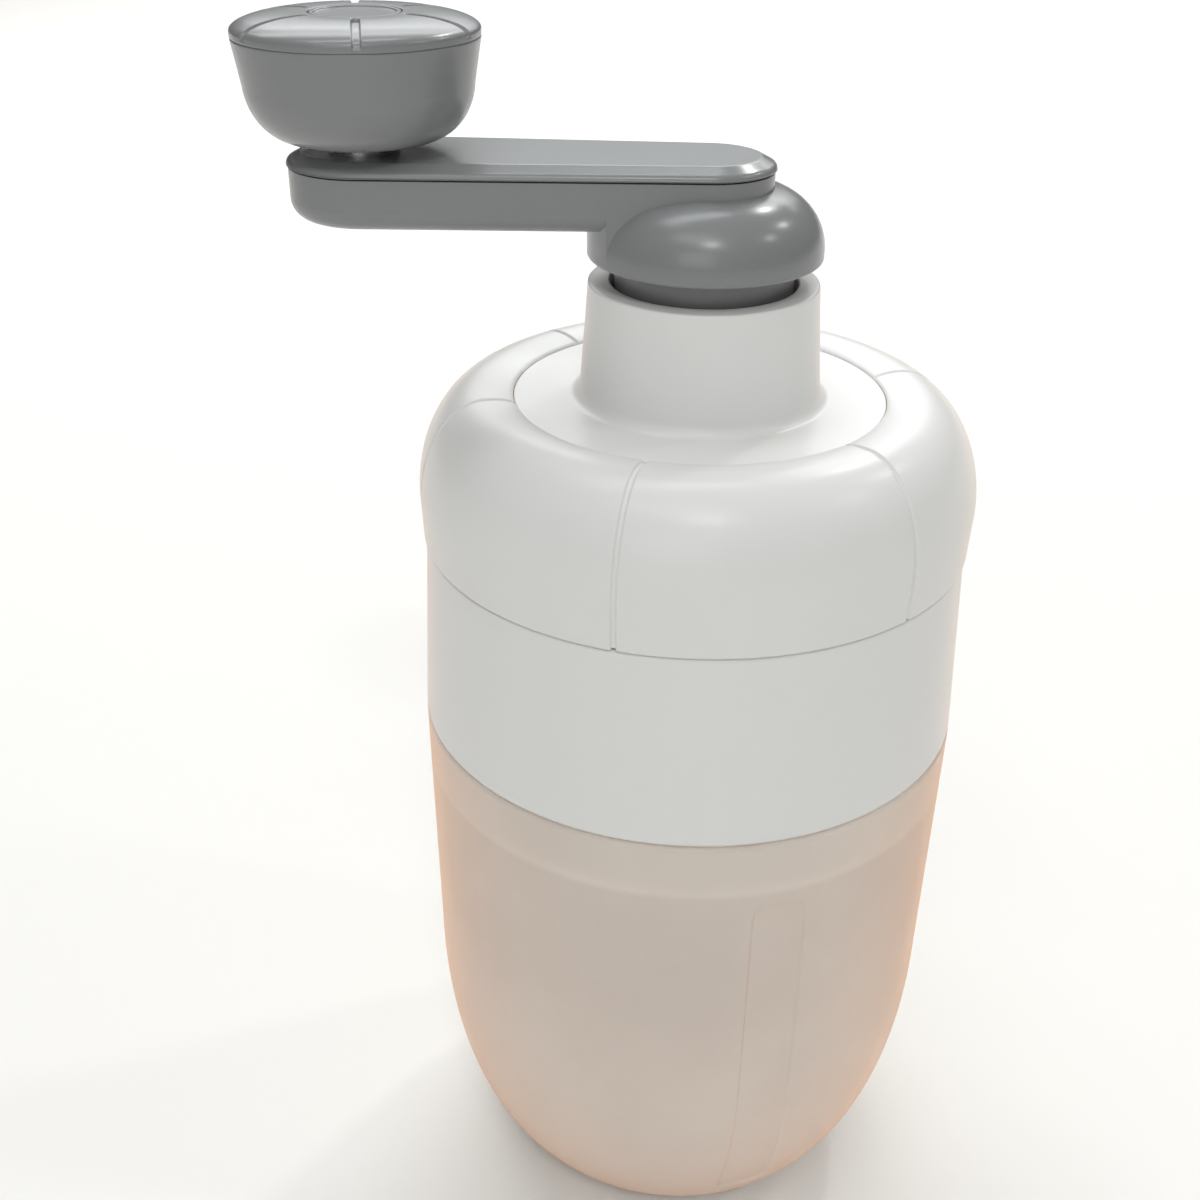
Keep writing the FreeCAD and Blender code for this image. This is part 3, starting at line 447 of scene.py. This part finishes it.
def slab(outline, line):
    # Rings round an outline, one for each (inset, height) of a section, closed at both ends along its middle line
    rings = [along(outline, inset, 1, height) for inset, height in line]
    return np.stack([along(outline, 0, 0, line[0, 1]), *rings, along(outline, 0, 0, line[-1, 1])], 1)


def softStep(x):
    # Rises from 0 to 1 as 3x^2 - 2x^3
    x = np.clip(x, 0, 1)
    return x * x * (3 - 2 * x)


def gridQuads(points, first=0, wrapColumns=True):
    # Quads that join places [i, j], [i+1, j], [i+1, j+1] and [i, j+1], closed from the last row to the first
    index = first + np.arange(points.shape[0] * points.shape[1]).reshape(points.shape[:2])
    down, right = np.roll(index, -1, 0), np.roll(index, -1, 1)
    quads = np.stack([index, down, np.roll(down, -1, 1), right], -1)
    return quads[:, :None if wrapColumns else -1].reshape(-1, 4)


def gridPiece(name, points, body, replaced, slot, wrapColumns=True, more=()):
    # One mesh from a grid of places, and from further grids that stand beside it. Doubles are merged, which closes the
    # poles
    places, quads = [points.reshape(-1, 3)], [gridQuads(points, 0, wrapColumns)]
    for grid in more:
        quads.append(gridQuads(grid, sum(map(len, places)), False))
        places.append(grid.reshape(-1, 3))
    mesh = bpy.data.meshes.new(name)
    mesh.from_pydata((np.vstack(places) * mm).tolist(), [], np.vstack(quads).tolist())
    shape = bmesh.new()
    shape.from_mesh(mesh)
    bmesh.ops.remove_doubles(shape, verts=shape.verts, dist=1e-6)
    bmesh.ops.recalc_face_normals(shape, faces=shape.faces)
    shape.to_mesh(mesh)
    shape.free()
    mesh.shade_smooth()
    mesh.materials.append(slotMaterials[slot])
    piece = bpy.data.objects.new(name, mesh)
    bpy.context.scene.collection.objects.link(piece)
    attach(piece, body)
    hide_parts(*replaced)
    print("made", name, len(mesh.polygons), "faces")
    return piece


# Cup
cup = {
    "mouthRadius": 48.2, "height": 103.0, "bendRadius": 47.4, "bendHeight": 52.0, "wall": 1.8, "edge": 0.8,
    "footRadius": 25.0, "footWidth": 2.4, "footHeight": 1.0,
    "notchAngles": (-65, 55, 175), "notchHalf": 3.7, "notchDepth": 1.6, "notchFine": (8.3, 9.5, 0.2),
    "panelAngle": -71.0, "panelHalf": 4.8, "panelCorner": 2.4, "panelLow": 14.0, "panelHigh": 90.0,
    "panelDepth": 0.5, "panelEdge": 0.3, "panelFine": (4.75, 7.51, 0.25), "coarse": 2.0,
}


def makeCup():
    # The wall's outside is r = 25 + 22.4 cos t, z = 52 + 51 sin t below the bend and a cone above it
    foot, bend, wall, edge = cup["footRadius"], cup["bendHeight"], cup["wall"], cup["edge"]
    ring, rise, notch = foot - cup["footWidth"], cup["footHeight"], foot - cup["notchDepth"]
    reach, drop = cup["bendRadius"] - foot, bend - rise
    line = section(
        [[0, rise]], (ring, rise, 0.15), (ring, 0, 0.2), [[notch - 0.02, 0], [notch + 0.02, 0]],
        (foot, 0, 0.4), (foot, rise, 0.1), arcPoints((foot, bend), (reach, drop), -89, 0, 46),
        (cup["mouthRadius"], cup["height"], edge), (cup["mouthRadius"] - wall, cup["height"], edge),
        arcPoints((foot, bend), (reach - wall, drop - wall), 0, -90, 40), [[0, rise + wall]], closed=False)
    outer = slice(0, int(np.argmax(line[:, 1])))
    line = np.vstack([divided(line[outer], 0.9), line[outer.stop:]])
    lastOuter = int(np.argmax(line[:, 1]))
    # Fine columns stand where the panel's and the notches' edges pass, in degrees from their middle lines
    fine = [cup["panelAngle"] + side * np.arange(*cup["panelFine"]) for side in (-1, 1)]
    fine += [a + side * np.arange(*cup["notchFine"]) for a in cup["notchAngles"] for side in (-1, 1)]
    angles = np.unique(np.round(np.concatenate([np.arange(0, 360, cup["coarse"]), *fine]) % 360, 3))
    columns = plainColumns(angles)
    row = np.arange(len(line))[None]

    def press(radius, height, angle):
        # The panel's edge is a soft step by the distance inside its outline, a rectangle with round corners
        corner = cup["panelCorner"]
        beyond = np.maximum(height - cup["panelHigh"], cup["panelLow"] - height) + corner
        aside = np.abs(beside(radius, angle, [cup["panelAngle"]])) - cup["panelHalf"] + corner
        outside = np.hypot(np.maximum(beyond, 0), np.maximum(aside, 0)) + np.minimum(np.maximum(beyond, aside), 0)
        inside = corner - outside
        facing = np.cos(np.radians(angle - cup["panelAngle"])) > 0
        return np.where(facing & (row < lastOuter), cup["panelDepth"] * softStep(inside / cup["panelEdge"] + 0.5), 0)

    points = turned(line, columns, press)
    # The drain notches lift the outer part of the foot ring's underside where they cross it
    radius = line[:, 0][None]
    away = np.abs(beside(radius, columns[:, :1] + 0 * row, cup["notchAngles"]))
    cut = (away < cup["notchHalf"]) & (radius > notch) & (radius < foot + 1)
    points[..., 2] = np.where(cut, np.maximum(points[..., 2], rise * 0.98), points[..., 2])
    gridPiece("cupShell", points, "cup", ["cup"], "frosted_plastic", wrapColumns=False)


# Casing
casing = {
    "skirt": (43.9, 45.9), "skirtLow": 93.0, "skirtTop": 105.0, "hollow": 46.0,
    "low": 103.0, "lowRadius": 48.2, "lowEdge": 1.6, "high": 137.5, "highRadius": 46.7, "highEdge": 0.55,
    "collar": (42.2, 44.5), "collarLow": 135.3, "collarTop": 142.5,
    "keyAngles": (30, 150, 270), "slotHalf": 3.3, "slotRadius": 43.35, "slotLow": 138.2,
    "lugAngles": (60, 180, 300), "lugEnds": [(40.0, 0, 4.1), (41.0, 0, 4.5)], "lugLow": 103.0, "lugTop": 105.0,
    "lugInset": 0.8,
}


def lugGrids():
    # Round-ended lugs that carry the chamber's screws: rings round a belt, turned by each angle about Z
    inset, low, top = casing["lugInset"], casing["lugLow"], casing["lugTop"]
    line = section([[inset, low]], (0, low, 0.3), (0, top, 0.3), [[inset, top]], closed=False)
    lug = slab(belt(casing["lugEnds"], (31, 31), (6, 6)), line)
    turn = np.radians(casing["lugAngles"])[:, None, None]
    x, y, z = lug[..., 0], lug[..., 1], lug[..., 2] + 0 * turn
    return np.stack([x * np.cos(turn) - y * np.sin(turn), x * np.sin(turn) + y * np.cos(turn), z], -1)


def makeCasing():
    # The section goes round the skirt, up the tapered outside and round the collar; three slots in the collar take the
    # cover's keys, their places being drawn in to the slot's radius
    (inside, outside), (bore, collar) = casing["skirt"], casing["collar"]
    low, high = casing["low"], casing["high"]
    line = section(
        (inside, casing["skirtLow"], 0.3), (outside, casing["skirtLow"], 0.5), (outside, low, 0.2),
        (casing["lowRadius"], low, casing["lowEdge"]), (casing["highRadius"], high, casing["highEdge"]),
        (collar, high, 0.25), (collar, casing["collarTop"], 0.5), (bore, casing["collarTop"], 0.3),
        (bore, casing["collarLow"], 0.3), (collar, casing["collarLow"], 0.4),
        (casing["hollow"], casing["skirtTop"], 0.3), (inside, casing["skirtTop"], 0.3))
    half = casing["slotHalf"]
    features = [(a, bothSides(half, half + 0.1), 6) for a in casing["keyAngles"]]
    points = turned(line, columnsAround(features, 2.5), near=42)
    radius, away = keyed(points, casing["keyAngles"])
    cut = (away < half + 0.01) & (points[..., 2] > casing["slotLow"]) & (radius > casing["slotRadius"])
    points[..., :2] *= np.where(cut, casing["slotRadius"] / radius, 1)[..., None]
    gridPiece("casingShell", points, "chamber", ["casing"], "white_plastic", more=lugGrids())


# Cover
cover = {
    "seam": 137.65, "rimRadius": 47.1, "rimEdge": 0.55, "bulgeRadius": 47.5, "bulge": 146.0,
    "crown": 163.2, "crownRadius": 36.0, "opening": 31.25, "discTop": 162.0,
    "grooves": 14.2 + 60.0 * np.arange(6), "grooveHalf": 0.55, "grooveDepth": 0.45, "grooveEdge": 0.3,
    "ledge": 27.05, "ledgeLow": 157.0, "ledgeTop": 159.0, "hollow": 33.45, "hollowTop": 161.0,
    "domeLow": 145.9, "domeReach": (9.3, 15.1), "shelf": 40.1, "shelfLow": 144.1, "bore": 44.9, "boreLow": 138.2,
    "keyAngles": (30, 150, 270), "keyHalf": 3.0, "keyRadius": 43.5, "keyLow": 138.5, "keyTop": 144.0,
}


def makeCover():
    # The dome is r = 36 + 11.5 cos t, z = 146 + 17.2 sin t; each groove is drawn in along the dome's normal
    crown, seam, crownRadius = cover["crown"], cover["seam"], cover["crownRadius"]
    opening, ledge, bore = cover["opening"], cover["ledge"], cover["bore"]
    bulge, discTop, domeLow = cover["bulge"], cover["discTop"], cover["domeLow"]
    outside = section(
        [[bore, seam]], (cover["rimRadius"], seam, cover["rimEdge"]),
        arcPoints((crownRadius, bulge), (cover["bulgeRadius"] - crownRadius, crown - bulge), 0, 90, 40),
        arcPoints((crownRadius, discTop), (crownRadius - opening, crown - discTop), 95, 180, 12), closed=False)
    inside = section(
        [[opening, discTop - 0.1]], (opening, cover["ledgeTop"], 0.15), (ledge, cover["ledgeTop"], 0.25),
        (ledge, cover["ledgeLow"], 0.3), (cover["hollow"], cover["ledgeLow"], 0.3),
        (cover["hollow"], cover["hollowTop"], 0.4), arcPoints((crownRadius, domeLow), cover["domeReach"], 90, 0, 20),
        (cover["shelf"], domeLow, 0.3), (cover["shelf"], cover["shelfLow"], 0.2), (bore, cover["shelfLow"], 0.2),
        [[bore, cover["boreLow"]]], closed=False)
    outside = divided(outside, 1.2)
    line = np.vstack([outside, inside])
    count = len(outside)
    features = [(a, bothSides(0.15, 0.28, 0.4, 0.5, 0.6, 0.8), 1.7) for a in cover["grooves"]]
    features += [(a, bothSides(cover["keyHalf"] - 0.05, cover["keyHalf"] + 0.05), 7) for a in cover["keyAngles"]]
    row = np.arange(len(line))[None]

    def press(radius, height, angle):
        away = np.abs(beside(radius, angle, cover["grooves"]))
        groove = cover["grooveDepth"] * softStep((cover["grooveHalf"] - away) / cover["grooveEdge"])
        return np.where((row < count - 1) & (row > 1), groove, 0)

    points = turned(line, columnsAround(features, 2.5), press, near=28)
    # The keys stand in from the bore, their places drawn in to the key's radius
    radius, away = keyed(points, cover["keyAngles"])
    height = points[..., 2]
    key = (away < cover["keyHalf"]) & (row >= count) & (height > cover["keyLow"]) & (height < cover["keyTop"])
    points[..., :2] *= np.where(key & (radius > bore - 0.9), cover["keyRadius"] / radius, 1)[..., None]
    gridPiece("coverDome", points, "lid", ["cover_shell"], "white_plastic")


# Tower
tower = {
    "disc": 31.16, "discLow": 159.0, "discTop": 162.0, "base": 20.0, "fillet": (1.76, 2.2), "top": 18.8,
    "height": 181.3, "recess": 15.3, "deck": 178.3, "bush": 9.05, "bushLow": 177.3, "bore": 6.11,
    "boss": 8.71, "bossLow": 166.0, "hollow": (18.1, 16.9), "ceiling": 175.8,
}


def makeTower():
    # A fillet, x = a - b cos t and z = c - d sin t, leads from the disc into the cone
    across, up = tower["fillet"]
    disc, low, height, deck = tower["disc"], tower["discLow"], tower["height"], tower["deck"]
    bore, boss, ceiling = tower["bore"], tower["boss"], tower["ceiling"]
    line = section(
        (tower["hollow"][0], low, 0.3), (disc, low, 0.2), (disc, tower["discTop"], 0.35),
        arcPoints((tower["base"] + across, tower["discTop"] + up), (-across, -up), 90, 4, 12),
        (tower["top"], height, 0.45), (tower["recess"], height, 0.35), (tower["recess"], deck, 0.4),
        (tower["bush"], deck, 0.1), (tower["bush"], tower["bushLow"], 0.1), (bore, tower["bushLow"], 0.1),
        (bore, tower["bossLow"], 0.1), (boss, tower["bossLow"], 0.3), (boss, ceiling, 0.3),
        (tower["hollow"][1], ceiling, 0.4))
    gridPiece("towerShell", turned(line, evenColumns(2.0)), "lid", ["neck_tower"], "white_plastic")


# Knob
knob = {
    "axis": -54.0, "radius": 18.9, "waist": 17.8, "waistHeight": 211.9, "base": 10.2, "low": 202.9, "seam": 218.1,
    "wall": 1.9, "bore": 3.66, "sleeve": 5.96, "sleeveHeight": 11.0,
    "top": 221.5, "side": 219.0, "flat": 8.9, "pocketFloor": 220.1, "plug": (15.0, 16.4), "plugLow": 215.7,
    "underside": [(8.55, 218.9), (9.55, 219.6), (15.0, 219.0)],
    "grooves": -79.5 + 60.0 * np.arange(6), "grooveHalf": 0.72, "grooveDepth": 0.42, "grooveEdge": 0.22,
    "grooveStart": 8.4, "startEdge": 0.3, "grooveEnd": 218.7, "endEdge": 0.35,
    "pit": 0.62, "pitDepth": 0.7, "pitEdge": 0.2, "pitPlace": 8.95,
    "inlay": 6.9, "inlayLow": 220.12, "inlayTop": 221.2, "inlayRim": 0.25, "inlayRimWidth": 0.65,
}


def makeKnobBowl():
    # The bowl is r = 10.2 + 7.6 cos t, z = 211.9 + 9 sin t up to its waist and a cone from there to the seam
    low, wall, base, height = knob["low"], knob["wall"], knob["base"], knob["waistHeight"]
    reach, drop = knob["waist"] - base, height - low
    sleeve, sleeveTop = knob["sleeve"], low + knob["sleeveHeight"]
    line = section(
        (knob["bore"], low, 0.3), arcPoints((base, height), (reach, drop), 270, 356, 22),
        (knob["radius"], knob["seam"], 0.28), (knob["radius"] - wall, knob["seam"], 0.3),
        arcPoints((base, height), (reach - wall, drop - wall), 0, -90, 16),
        (sleeve, low + wall, 0.4), (sleeve, sleeveTop, 0.3), (knob["bore"], sleeveTop, 0.3))
    gridPiece("knobBowl", turned(line, evenColumns(2.5), axis=knob["axis"]), "knob", ["knob_bowl"], "grey_plastic")


def makeKnobCap():
    # The shoulder is r = 8.9 + 10 cos t, z = 219 + 2.5 sin t; grooves and the pits at their inner ends are drawn in
    top, side, flat, seam = knob["top"], knob["side"], knob["flat"], knob["seam"]
    pocket, floor, (plugIn, plugOut) = knob["inlay"] + 0.15, knob["pocketFloor"], knob["plug"]
    outside = section(
        [[knob["radius"] - 1.0, seam]], (knob["radius"], seam, 0.28),
        arcPoints((flat, side), (knob["radius"] - flat, top - side), 0, 90, 24),
        (pocket, top, 0.3), [[pocket, top - 0.8]], closed=False)
    inside = section(
        [[pocket, top - 0.9]], (pocket, floor, 0.1), [[0, floor]], [[0, knob["underside"][0][1]]],
        *[(x, z, 0.3) for x, z in knob["underside"]], (plugIn, knob["plugLow"], 0.3), (plugOut, knob["plugLow"], 0.3),
        (plugOut, seam, 0.1), [[knob["radius"] - 1.2, seam]], closed=False)
    outside = divided(outside, 0.25)
    line = np.vstack([outside, inside])
    row, count = np.arange(len(line))[None], len(outside)

    def press(radius, height, angle):
        offset = beside(radius, angle, knob["grooves"])
        place = np.sqrt(np.maximum(radius ** 2 - offset ** 2, 0))
        start = softStep((place - knob["grooveStart"]) / knob["startEdge"])
        end = softStep((height - knob["grooveEnd"]) / knob["endEdge"])
        across = softStep((knob["grooveHalf"] - np.abs(offset)) / knob["grooveEdge"])
        middle = np.hypot(offset, place - knob["pitPlace"])
        pit = knob["pitDepth"] * softStep((knob["pit"] - middle) / knob["pitEdge"])
        return np.where((row < count - 3) & (row > 1), knob["grooveDepth"] * across * start * end + pit, 0)

    offsets = bothSides(0.12, 0.25, 0.4, 0.5, 0.62, 0.72, 0.8, 1.0)
    columns = columnsAround([(a, offsets, 7.5) for a in knob["grooves"]], 3)
    points = turned(line, columns, press, axis=knob["axis"], near=8)
    gridPiece("knobCap", points, "knob", ["knob_cap"], "grey_plastic")


def makeKnobInlay():
    # A disc with a narrow raised rim, turned about the knob's axis
    low, top, edge, rim = knob["inlayLow"], knob["inlayTop"], knob["inlay"], knob["inlayTop"] + knob["inlayRim"]
    width = knob["inlayRimWidth"]
    line = section([[0, low]], (edge, low, 0.1), (edge, rim, 0.12), (edge - width, rim, 0.12),
                   (edge - width - 0.15, top, 0.1), [[0, top]], closed=False)
    points = turned(line, evenColumns(3.0), axis=knob["axis"])
    gridPiece("knobInlay", points, "knob", ["knob_inlay"], "grey_plastic", wrapColumns=False)


# Arm plate
arm = {
    "hubEnd": 10.5, "knobEnd": 12.0, "length": 54.0, "low": 198.9, "top": 201.2, "overhang": 0.25, "shoulder": 2.45,
    "fall": 1.25, "edge": 0.69, "ridge": 0.2, "seam": 0.28, "seamInset": 0.8, "lipLow": 197.3, "lipInset": 2.15,
    "lipWall": 1.3, "margin": 0.6,
}


def makeArmPlate():
    # Rings round the plate's outline, each at an (inset, height) of a section that runs from the lip over the side and
    # up the sloping shoulder to the flat top, which is closed along the arm's middle line
    plate = belt([(0, 0, arm["hubEnd"]), (-arm["length"], 0, arm["knobEnd"])], (61, 49), (30, 30))
    top, low, edge, margin = arm["top"], arm["low"], -arm["overhang"], arm["margin"]
    lip, lipInside, gap = arm["lipInset"], arm["lipInset"] + arm["lipWall"], low + arm["seam"]
    flat = edge + arm["shoulder"]
    line = section(
        [[lipInside + margin, low]], (lipInside, low, 0.1), (lipInside, arm["lipLow"], 0.15),
        (lip, arm["lipLow"], 0.15), (lip, low, 0.1), (arm["seamInset"], low, 0.08), (arm["seamInset"], gap, 0.08),
        (edge, gap, 0.15), (edge, top - arm["fall"], arm["edge"]), (flat, top, arm["ridge"]),
        [[flat + margin, top]], closed=False)
    gridPiece("armPlate", slab(plate, line), "crank", ["arm_cover"], "grey_plastic", wrapColumns=False)


# Spring
spring = {"radius": 8.4, "wire": 0.7, "turns": 8, "travel": 26.0}


def makeSpring():
    # A wire round a helix: x = (r + w cos p) cos t, y = (r + w cos p) sin t, z = z0 + h t / 2 pi + w sin p. It stands
    # on the pusher, between the heights of the spring part's box, and moves with it
    low, high = (corner[2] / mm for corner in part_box("pusher_spring"))
    wire = spring["wire"]
    turn = np.linspace(0, 2 * np.pi * spring["turns"], 36 * spring["turns"] + 1)
    thick = np.r_[0, np.full(len(turn), wire), 0]
    turn = np.r_[turn[0], turn, turn[-1]]
    side = np.linspace(0, 2 * np.pi, 10, endpoint=False)[:, None]
    reach = spring["radius"] + thick * np.cos(side)
    height = low + wire + (high - low - 2 * wire) * turn / turn[-1] + thick * np.sin(side)
    points = np.stack([reach * np.cos(turn), reach * np.sin(turn), height], -1)
    coil = gridPiece("springCoil", points, "pusher", ["pusher_spring"], "steel", wrapColumns=False)
    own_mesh(coil)


for make in (makeSpring, makeCup, makeCasing, makeCover, makeTower,
             makeKnobBowl, makeKnobCap, makeKnobInlay, makeArmPlate):
    make()
print("pieces made")


# Floor
def makeFloor():
    # A square of corners (x, y, 0), where x and y are the size or its opposite
    size = studio["floorSize"]
    mesh = bpy.data.meshes.new("floor")
    mesh.from_pydata([(-size, -size, 0), (size, -size, 0), (size, size, 0), (-size, size, 0)], [], [(0, 1, 2, 3)])
    mesh.materials.append(newMaterial("paleFloor", {
        "Base Color": (*studio["floorTone"], 1), "Roughness": studio["floorRoughness"],
        "Specular IOR Level": studio["floorSpecular"],
    })[0])
    floor = bpy.data.objects.new("floor", mesh)
    bpy.context.scene.collection.objects.link(floor)


makeFloor()
print("floor laid")
